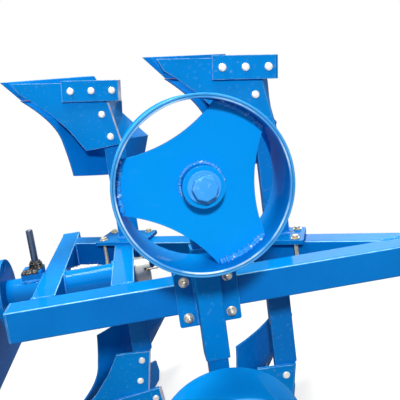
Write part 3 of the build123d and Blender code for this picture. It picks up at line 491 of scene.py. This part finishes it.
def hex_head(bm, foot, run, corner, thick, washer=0.0):
    # a washer of that radius if there is one, then a hexagon with a chamfered crown
    if washer:
        small, top = washer * 0.97, WASHER_THICK - WASHER_BREAK
        turned(bm, foot, run, [(0, small), (WASHER_BREAK, washer), (top, washer), (WASHER_THICK, small)])
        foot = foot + run.normalized() * WASHER_THICK
    crown = [(0.0, corner), (thick * 0.80, corner), (thick * 0.93, corner * 0.90), (thick, corner * 0.80)]
    turned(bm, foot, run, crown, 36, corner)


def threaded_end(bm, foot, run, radius, length):
    pitch = 0.00175
    profile = []
    for i in range(int(length / pitch)):
        profile += [(i * pitch, radius * 0.88), ((i + 0.5) * pitch, radius)]
    turned(bm, foot, run, profile + [(length, radius * 0.8)], 20)


BOLT_CORNER, BOLT_RADIUS, HEAD_TALL, NUT_TALL, WASHER_R = 0.0105, 0.0060, 0.0080, 0.0100, 0.0130
NUT_TOP, TAIL_LONG = NUT_TALL + WASHER_THICK, 0.0040
PLATE_OUT, PLATE_SKEW, BOLT_ACROSS, BOLT_ALONG = 0.052, 0.22, 0.051, 0.070
beam_along = Vector((math.cos(MAIN_TURN), -math.sin(MAIN_TURN), 0))
beam_across = Vector((math.sin(MAIN_TURN), math.cos(MAIN_TURN), 0))
leg_bolts = bmesh.new()
for clamp_x in CLAMP_MIDDLES:
    for across in (-BOLT_ACROSS, BOLT_ACROSS):
        for side in (-BOLT_ALONG, BOLT_ALONG):
            along = side - PLATE_SKEW * across
            middle = spot(clamp_x, main_beam_y(clamp_x), 0) + beam_along * along + beam_across * across
            low = middle - ALONG_Z * PLATE_OUT
            high = middle + ALONG_Z * PLATE_OUT
            hex_head(leg_bolts, high, ALONG_Z, BOLT_CORNER, HEAD_TALL, WASHER_R)
            hex_head(leg_bolts, low, -ALONG_Z, BOLT_CORNER, NUT_TALL, WASHER_R)
            turned(leg_bolts, low, ALONG_Z, [(0, BOLT_RADIUS), (2 * PLATE_OUT, BOLT_RADIUS)], 20)
            threaded_end(leg_bolts, low - ALONG_Z * NUT_TOP, -ALONG_Z, BOLT_RADIUS, TAIL_LONG)
leg_bolts = new_piece("leg_clamp_bolts", leg_bolts, yellow_zinc, "frame")
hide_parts("clamp_bolts")

# Plough bodies: flame-cut frog plate, flat landside bar, pressed mouldboard and a forged
# share, bolted to the leg. New and unworked, so still blue, with bright round bolt heads.
BODY_BLUE = (0.0008, 0.185, 0.560)
BODY_BLUE_LIT = (0.0012, 0.225, 0.650)
BOARD_BLUE = (0.0006, 0.150, 0.530)
BOARD_BLUE_LIT = (0.0010, 0.180, 0.610)
BARE_BEVEL = (0.66, 0.64, 0.62)
BODY_RUBBED = (0.55, 0.76, 0.93)
board_enamel = enamel("board_enamel", BOARD_BLUE, BOARD_BLUE_LIT, RUBBED_BLUE, 0.35, 0.08, 0.26, shine=0.05)
dress([f"{place}_{kind}" for place in PLACES for kind in ("share", "mouldboard")], board_enamel)

SOLE, NOSE_DOWN = -575.5, math.radians(6.2)
LOWER_LEG_X, BODY_PITCH, UPPER_STEP = -206.3, 446.0, 18.6
LAND_Y = main_beam_y(LOWER_LEG_X) - 15.0


def body_spot(place, u, v, w):
    # u back from the leg, v out from the frog's back, w up from the sole, on a tilted body
    x = u * math.cos(NOSE_DOWN) - w * math.sin(NOSE_DOWN)
    z = u * math.sin(NOSE_DOWN) + w * math.cos(NOSE_DOWN) + SOLE
    step = (BODY_PITCH if "rear" in place else 0.0) + (UPPER_STEP if "upper" in place else 0.0)
    flip = -1.0 if "upper" in place else 1.0
    return spot(x + LOWER_LEG_X + step, LAND_Y + v + step * MAIN_SLOPE, z * flip)


def ground_bevel(limit):
    # bright ground metal on the frog's slanting front end, as far back as y = limit
    def lay(tree, coords, colour):
        facing = facing_of(tree)
        slant = combine(tree, combine(tree, facing[0], facing[1]), -1.0)
        patchy = spread(tree, noise_at(tree, coords, **STREAKS), 0.30, 0.60, 0.45, 1.0)
        bevel = combine(tree, spread(tree, slant, 0.36, 0.44), patchy)
        bevel = combine(tree, bevel, spread(tree, split(tree, coords)[1], limit, limit - 0.0005))
        return blend_colours(tree, bevel, colour, BARE_BEVEL)

    return lay


for place in PLACES:
    bevel = ground_bevel(body_spot(place, 0.0, 0.5, 0.0).y) if "front" in place else None
    frog_enamel = enamel(
        f"{place}_enamel", BODY_BLUE, BODY_BLUE_LIT, BODY_RUBBED, 0.8, 0.12, 0.28, over=bevel, shine=0.06
    )
    dress([f"{place}_frog", f"{place}_landside"], frog_enamel)

white_zinc = plated("white_zinc", (0.88, 0.88, 0.86), (0.66, 0.63, 0.56))
body_bolts = bmesh.new()
HEAD = [(0.0, 0.0112), (0.0022, 0.0115), (0.0040, 0.0105), (0.0050, 0.0085)]
SIDE_BOLTS = [(u, 32.75, -22.0, 0.0) for u in (-106.0, -41.0, 24.0)]
SIDE_BOLTS += [(u, w, -12.0, 30.0) for u, w in ((-12.0, 108.0), (12.5, 180.0))]
for place in PLACES:
    for u, w, outer, inner in SIDE_BOLTS:
        face = body_spot(place, u, outer, w)
        back = body_spot(place, u, inner, w)
        turned(body_bolts, face, -ALONG_Y, HEAD, 28)
        turned(body_bolts, face, ALONG_Y, [(0, BOLT_RADIUS), ((back - face).length, BOLT_RADIUS)], 16)
        hex_head(body_bolts, back, ALONG_Y, BOLT_CORNER, NUT_TALL)
        threaded_end(body_bolts, back + ALONG_Y * NUT_TALL, ALONG_Y, BOLT_RADIUS, TAIL_LONG)
body_bolts = new_piece("body_side_bolts", body_bolts, white_zinc, "frame")
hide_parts("body_bolts")

# Wheel clamp: front and back plates pulled onto the near beam by four long bolts with nuts,
# washers and threaded ends in front, and the square post welded upright on the front plate.
# painted light: the clamp plates and post take the lighter body blue, lifting them as if lit beneath the
# wheel
clamp_painted_light_enamel = enamel("clamp_painted_light_enamel", BODY_BLUE, BODY_BLUE_LIT, RUBBED_BLUE, shine=0.06)
dress(["wheel_clamp_front", "wheel_clamp_back", "wheel_post"], clamp_painted_light_enamel)
dress(["stem_screws"], yellow_zinc)
POST_WELD_Y, POST_WELD_HALF = -310, 66
post_welds = bmesh.new()
for side in (-31.0, 31.0):
    seam = [spot(side, POST_WELD_Y, -POST_WELD_HALF), spot(side, POST_WELD_Y, POST_WELD_HALF)]
    weld_bead(post_welds, seam, BEAD * 0.8, seed=int(90 + side))
new_piece("wheel_post_welds", post_welds, weld_enamel, "frame")
CLAMP_BOLT_X, CLAMP_BOLT_Z, CLAMP_FRONT, CLAMP_BACK, CLAMP_TAIL = 54.0, 46.5, -309, -205, 0.0070
CLAMP_GRIP = (CLAMP_BACK - CLAMP_FRONT) / 1000.0
dull_zinc = plated("dull_zinc", (0.62, 0.60, 0.55), (0.24, 0.20, 0.15))
clamp_bolts = bmesh.new()
for x in (-CLAMP_BOLT_X, CLAMP_BOLT_X):
    for z in (-CLAMP_BOLT_Z, CLAMP_BOLT_Z):
        front, back = spot(x, CLAMP_FRONT, z), spot(x, CLAMP_BACK, z)
        hex_head(clamp_bolts, front, -ALONG_Y, BOLT_CORNER, NUT_TALL, WASHER_R)
        threaded_end(clamp_bolts, front - ALONG_Y * NUT_TOP, -ALONG_Y, BOLT_RADIUS, CLAMP_TAIL)
        turned(clamp_bolts, front, ALONG_Y, [(0, BOLT_RADIUS), (CLAMP_GRIP, BOLT_RADIUS)], 20)
        hex_head(clamp_bolts, back, ALONG_Y, BOLT_CORNER, HEAD_TALL)
clamp_bolts = new_piece("post_clamp_bolts", clamp_bolts, dull_zinc, "frame")
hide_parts("wheel_clamp_bolts")

# Depth wheels: a rolled flat rim, a plate disc with three hollow flanks and a turned hub,
# welded up and sprayed. The rim's front edge is a rolled lip with a groove, with a pale band,
# a painted highlight along its inner side and painted shade in the groove; the welds at hub
# and rim are lumpy, with pale painted glints.
WHEEL_BLUE, WHEEL_BLUE_LIT = (0.0010, 0.265, 0.745), (0.0015, 0.300, 0.800)
RIM_BLUE, RIM_BLUE_LIT = (0.0010, 0.195, 0.610), (0.0015, 0.230, 0.680)
# the band colour is pale paint; the bright colour is a painted highlight and the groove colour painted
# shade
RIM_BAND, RIM_PAINTED_HIGHLIGHT, RIM_GROOVE_PAINTED_SHADE = (0.10, 0.42, 0.84), (0.80, 0.93, 1.0), (0.001, 0.05, 0.20)
CAP_BLUE, CAP_BLUE_LIT, CAP_WORN = (0.030, 0.300, 0.840), (0.070, 0.380, 0.900), (0.30, 0.62, 0.95)
# pale colour of painted glints on the wheel welds
PAINTED_GLINT = (0.85, 0.95, 1.0)
WHEEL_FRONT, WHEEL_UP = -572.7, 315.0
RIM_OUTER, RIM_INNER, RIM_WIDE, RIM_ROUND, RIM_STEPS = 0.180, 0.170, 0.148, 0.0024, 144
GROOVE_OUTER, GROOVE_FLOOR, GROOVE_INNER, GROOVE_DEEP = 0.1758, 0.1748, 0.1738, 0.0016
LIP_START, LIP_FULL, LINE_EDGE, LINE_FADE = 0.1727, 0.1722, 0.0001, 0.0004
BAND_END, BAND_FULL = 0.0040, 0.0030


def rolled_edge(tree, coords, colour):
    # the front edge's pale band, a painted highlight line along the lip's inner side and painted shade in
    # the groove, by distance from either hub
    hub = spot(0, WHEEL_FRONT, 0)
    patches = noise_at(tree, coords, 14.0, 3.0)
    x, y, z = split(tree, coords)
    across = combine(tree, x, hub.x, "SUBTRACT")
    upright = combine(tree, combine(tree, z, hub.z, "SUBTRACT"), 0.0, "ABSOLUTE")
    upright = combine(tree, upright, WHEEL_UP / 1000.0, "SUBTRACT")
    radius = combine(tree, combine(tree, across, across), combine(tree, upright, upright), "ADD")
    radius = combine(tree, radius, 0.5, "POWER")
    front = spread(tree, y, hub.y + BAND_END, hub.y + BAND_FULL)
    band = combine(tree, front, spread(tree, patches, 0.35, 0.65, 0.35, 0.80))
    colour = blend_colours(tree, band, colour, RIM_BAND)
    # painted highlight: a bright line along the lip's inner side
    lip_highlight = combine(tree, spread(tree, radius, LIP_START, LIP_FULL), front)
    lip_highlight = combine(tree, lip_highlight, spread(tree, patches, 0.42, 0.66, 0.05, 0.85))
    colour = blend_colours(tree, lip_highlight, colour, RIM_PAINTED_HIGHLIGHT)
    # painted shade: a dark line in the groove
    inner = spread(tree, radius, GROOVE_INNER - LINE_EDGE, GROOVE_INNER + LINE_FADE)
    outer = spread(tree, radius, GROOVE_OUTER + LINE_EDGE, GROOVE_OUTER - LINE_FADE)
    dark = combine(tree, combine(tree, inner, outer), front)
    return blend_colours(tree, combine(tree, dark, 0.55), colour, RIM_GROOVE_PAINTED_SHADE)


wheel_enamel = enamel("wheel_enamel", WHEEL_BLUE, WHEEL_BLUE_LIT, RIM_BAND, 0.45, 0.06, 0.34, shine=0.04)
rim_enamel = enamel(
    "rim_enamel", RIM_BLUE, RIM_BLUE_LIT, RIM_BAND, 0.5, 0.10, 0.24, over=rolled_edge, shine=0.05
)
# painted highlight: the wheel welds' dense pale specks and edges are painted glints
hub_enamel = enamel("hub_enamel", WHEEL_BLUE, WHEEL_BLUE_LIT, PAINTED_GLINT, 0.4, 1.5, 0.20, 0.8, shine=0.10)
cap_enamel = enamel("cap_enamel", CAP_BLUE, CAP_BLUE_LIT, CAP_WORN, 0.3, 0.6, 0.22, 0.45, shine=0.10)
dress(["upper_wheel_disc", "lower_wheel_disc"], wheel_enamel)
dress(["upper_wheel_stem", "lower_wheel_stem"], frame_enamel)
dress(["upper_axle_end", "lower_axle_end"], cap_enamel)
RIM_CORNERS = (
    (RIM_ROUND, RIM_OUTER - RIM_ROUND, 90.0),
    (RIM_ROUND, RIM_INNER + RIM_ROUND, 180.0),
    (RIM_WIDE - RIM_ROUND, RIM_INNER + RIM_ROUND, 270.0),
    (RIM_WIDE - RIM_ROUND, RIM_OUTER - RIM_ROUND, 0.0),
)
rim_outline = []
for y, r, start in RIM_CORNERS:
    for i in range(5):
        a = math.radians(start + 90.0 * i / 4)
        rim_outline.append((y + RIM_ROUND * math.cos(a), r + RIM_ROUND * math.sin(a)))
    if start == 90.0:
        rim_outline += [(0.0, GROOVE_OUTER), (GROOVE_DEEP, GROOVE_FLOOR), (0.0, GROOVE_INNER)]
DISC_FACES = ((0.0475, 101), (0.0565, 104))
HUB_WELD_R, HUB_BEAD, RIM_WELD_R = 0.0437, 0.0045, 0.1660
LOBES, LOBE_SWEEP, LOBE_STEPS = ((54.0, 0.0060), (174.0, 0.0060), (294.0, 0.0085)), 38.0, 26
for name, flip in (("upper", 1), ("lower", -1)):
    hub = spot(0, WHEEL_FRONT, WHEEL_UP * flip)
    rim = bmesh.new()
    rings = []
    for i in range(RIM_STEPS):
        a = i * math.tau / RIM_STEPS
        spoke = ALONG_X * math.cos(a) + ALONG_Z * math.sin(a)
        rings.append([rim.verts.new(hub + ALONG_Y * y + spoke * r) for y, r in rim_outline])
    for i in range(RIM_STEPS):
        ring_between(rim, rings[i], rings[(i + 1) % RIM_STEPS])
    rim = new_piece(f"{name}_rolled_rim", rim, rim_enamel, f"{name}_wheel", 50.0)
    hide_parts(f"{name}_wheel_rim")
    welds = bmesh.new()
    for in_from_front, seed in DISC_FACES:
        face = hub + ALONG_Y * in_from_front
        weld_bead(welds, circle_path(face, HUB_WELD_R, ALONG_X, ALONG_Z, steps=60), HUB_BEAD, True, seed)
        for lobe, thick in LOBES:
            begin = (lobe - LOBE_SWEEP / 2) * flip
            path = circle_path(face, RIM_WELD_R, ALONG_X, ALONG_Z, begin, LOBE_SWEEP * flip, LOBE_STEPS)
            weld_bead(welds, path, thick, False, int(seed + lobe))
    new_piece(f"{name}_wheel_welds", welds, hub_enamel, f"{name}_wheel")

# Plain pale floor and a white surround, so the plough stands as in a clean studio. The floor
# keeps the plough's shadow near it and runs out to white.
FLOOR_HALF, WHITE_FROM, WHITE_TO, WHITE_NEAR = 14.0, 0.7, 2.0, 0.66
FLOOR_BOUNCE, FLOOR_DARK, FLOOR_LIGHT = (0.20, 0.21, 0.22), (0.90, 0.90, 0.90), (0.94, 0.94, 0.94)
floor_mesh = bmesh.new()
bmesh.ops.create_grid(floor_mesh, x_segments=8, y_segments=8, size=FLOOR_HALF)
floor_data = bpy.data.meshes.new("floor")
floor_mesh.to_mesh(floor_data)
floor_mesh.free()
floor = bpy.data.objects.new("floor", floor_data)
bpy.context.scene.collection.objects.link(floor)


def seen_directly(tree):
    # 1 for what the camera sees, straight or in a shiny or clear surface
    rays = tree.nodes.new("ShaderNodeLightPath").outputs
    shiny = combine(tree, rays["Is Glossy Ray"], rays["Is Transmission Ray"], "MAXIMUM")
    return combine(tree, rays["Is Camera Ray"], shiny, "MAXIMUM")


floor_skin, floor_tree, pale, floor_coords = new_skin("pale_floor")
pale.inputs["Roughness"].default_value = 0.9
pale.inputs["Specular IOR Level"].default_value = 0.0
floor_rays = seen_directly(floor_tree)
floor_clouds = noise_at(floor_tree, floor_coords, 1.5, 3.0)
seen_floor = blend_colours(floor_tree, floor_clouds, FLOOR_DARK, FLOOR_LIGHT)
floor_colour = blend_colours(floor_tree, floor_rays, FLOOR_BOUNCE, seen_floor)
floor_tree.links.new(floor_colour, pale.inputs["Base Color"])
floor_glow = add_node(floor_tree, "ShaderNodeEmission", Strength=1.0)
floor_mix = floor_tree.nodes.new("ShaderNodeMixShader")
floor_far = floor_tree.nodes.new("ShaderNodeVectorMath")
floor_far.operation = "LENGTH"
floor_tree.links.new(floor_coords, floor_far.inputs[0])
floor_white = spread(floor_tree, floor_far.outputs["Value"], WHITE_FROM, WHITE_TO, WHITE_NEAR, 1.0)
floor_tree.links.new(combine(floor_tree, floor_rays, floor_white), floor_mix.inputs[0])
floor_tree.links.new(pale.outputs[0], floor_mix.inputs[1])
floor_tree.links.new(floor_glow.outputs[0], floor_mix.inputs[2])
floor_tree.links.new(floor_mix.outputs[0], floor_tree.nodes["Material Output"].inputs["Surface"])
floor_data.materials.append(floor_skin)

ROOM_TINT, ROOM_LEVEL, BEHIND_LEVEL, ABOVE_LEVEL = (0.93, 0.97, 1.0, 1.0), 0.06, 0.12, 0.35
world = bpy.data.worlds.new("studio")
bpy.context.scene.world = world
world.use_nodes = True
sky = world.node_tree
room = sky.nodes["Background"]
room.inputs["Color"].default_value = ROOM_TINT
way = split(sky, sky.nodes.new("ShaderNodeTexCoord").outputs["Generated"])
behind = spread(sky, way[1], -0.3, 0.6, 0.0, BEHIND_LEVEL)
above = spread(sky, way[2], 0.1, 0.9, 0.0, ABOVE_LEVEL)
room_level = combine(sky, combine(sky, behind, above, "ADD"), ROOM_LEVEL, "ADD")
sky.links.new(room_level, room.inputs["Strength"])
seen_white = add_node(sky, "ShaderNodeBackground", Strength=1.0)
seen_white.inputs["Color"].default_value = (1.0, 1.0, 1.0, 1.0)
room_mix = sky.nodes.new("ShaderNodeMixShader")
sky.links.new(seen_directly(sky), room_mix.inputs[0])
sky.links.new(room.outputs[0], room_mix.inputs[1])
sky.links.new(seen_white.outputs[0], room_mix.inputs[2])
sky.links.new(room_mix.outputs[0], sky.nodes["World Output"].inputs["Surface"])

# Studio light: a long lamp overhead that draws a bright line along the round tube, a small
# key high in front, a low strip and a weak fill in front, and a lamp behind for the far side.
aim = spot(0, -150, 60)
LAMPS = (
    ("top_lamp", Vector((-0.6, 0.3, 3.6)), 2.6, 0.7, 228.0, (1.0, 1.0, 0.80)),
    ("key_lamp", Vector((-0.20, -4.2, 2.20)), 0.45, 0.40, 176.0, (1.0, 1.0, 1.0)),
    ("strip_lamp", Vector((-0.4, -3.8, 0.35)), 3.4, 0.14, 5.0, (1.0, 1.0, 1.0)),
    ("fill_lamp", Vector((3.2, -2.4, 1.4)), 2.2, 1.6, 5.0, (1.0, 1.0, 1.0)),
    ("back_lamp", Vector((2.4, 4.2, 1.45)), 2.4, 1.4, 70.0, (1.0, 1.0, 1.0)),
)
for name, away, wide, tall, power, tint in LAMPS:
    lamp = bpy.data.lights.new(name, "AREA")
    lamp.shape = "RECTANGLE"
    lamp.size, lamp.size_y = wide, tall
    lamp.energy = power
    lamp.color = tint
    holder = bpy.data.objects.new(name, lamp)
    holder.location = aim + away
    holder.rotation_euler = (-away).to_track_quat("-Z", "Y").to_euler()
    bpy.context.scene.collection.objects.link(holder)

# Camera: close to the depth wheel on the land side, a little above it and rolled, as a
# hand-held picture is.
CAMERA_SPOT = (-116, -1646.7, 492.1)
YAW, PITCH, ROLL = math.radians(5.53), math.radians(10.47), math.radians(-7.85)
FOCAL_PIXELS, PICTURE_PIXELS, FILM_WIDE = 569.6, 400.0, 36.0
ahead = Vector((math.sin(YAW) * math.cos(PITCH), math.cos(YAW) * math.cos(PITCH), -math.sin(PITCH)))
level_right = Vector((math.cos(YAW), -math.sin(YAW), 0))
level_up = level_right.cross(ahead)
right = level_right * math.cos(ROLL) + level_up * math.sin(ROLL)
up = level_up * math.cos(ROLL) - level_right * math.sin(ROLL)
lens = bpy.data.cameras.new("camera")
lens.sensor_width = FILM_WIDE
lens.lens = FILM_WIDE * FOCAL_PIXELS / PICTURE_PIXELS
lens.clip_start, lens.clip_end = 0.05, 60.0
camera = bpy.data.objects.new("camera", lens)
turn = Matrix((right, up, -ahead)).transposed().to_4x4()
camera.matrix_world = Matrix.Translation(spot(*CAMERA_SPOT)) @ turn
bpy.context.scene.collection.objects.link(camera)
bpy.context.scene.camera = camera
bpy.context.scene.view_settings.view_transform = "Standard"
